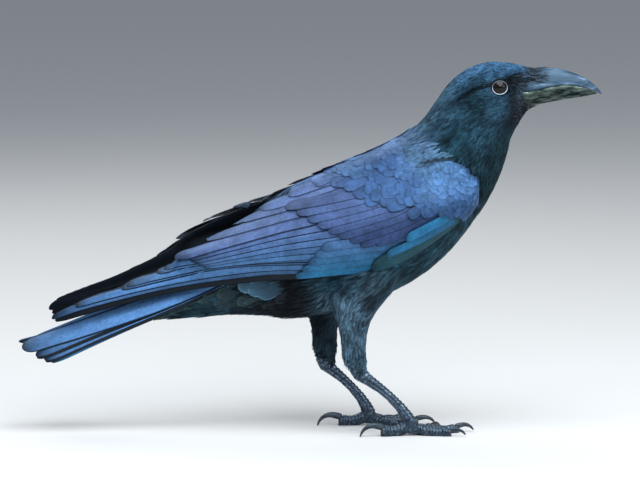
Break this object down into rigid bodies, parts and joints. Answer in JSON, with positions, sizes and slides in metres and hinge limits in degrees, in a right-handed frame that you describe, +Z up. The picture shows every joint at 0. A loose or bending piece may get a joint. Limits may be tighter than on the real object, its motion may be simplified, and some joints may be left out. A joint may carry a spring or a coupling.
{
  "type": "standing crow model",
  "caption": "Life-size still model of a black crow standing on both feet, wings folded, tail low, head raised and looking ahead.",
  "frame": {"origin": "on the floor, under the middle of the whole bird's box", "axes": "+X forwards, towards the bill; +Y to the bird's left; +Z up"},
  "size_m": [0.4662, 0.1086, 0.2972],
  "materials": {
    "plumage_dark": "close, faintly glossed feathers, dark teal to black",
    "plumage_gloss": "glossy blue and violet flight feathers and coverts with dark edges",
    "bill": "horn, slate grey, half gloss, finely scratched",
    "leg": "scaly skin, blue-black, half gloss",
    "claw": "dark horn, polished",
    "eye": "dark brown iris behind a clear wet surface"
  },
  "bodies": {
    "root": {"bill_lower": "bill", "bill_upper": "bill", "claw_hind_left": "claw", "claw_hind_right": "claw", "claw_inner_left": "claw", "claw_inner_right": "claw", "claw_middle_left": "claw", "claw_middle_right": "claw", "claw_outer_left": "claw", "claw_outer_right": "claw", "eye_left": "eye", "eye_right": "eye", "head": "plumage_dark", "neck": "plumage_dark", "tail": "plumage_gloss", "tarsus_left": "leg", "tarsus_right": "leg", "thigh_left": "plumage_dark", "thigh_right": "plumage_dark", "toe_hind_left": "leg", "toe_hind_right": "leg", "toe_inner_left": "leg", "toe_inner_right": "leg", "toe_middle_left": "leg", "toe_middle_right": "leg", "toe_outer_left": "leg", "toe_outer_right": "leg", "trunk": "plumage_dark", "wing_left_arm": "plumage_gloss", "wing_left_primaries": "plumage_gloss", "wing_left_secondaries": "plumage_gloss", "wing_right_arm": "plumage_gloss", "wing_right_primaries": "plumage_gloss", "wing_right_secondaries": "plumage_gloss"}
  },
  "joints": []
}
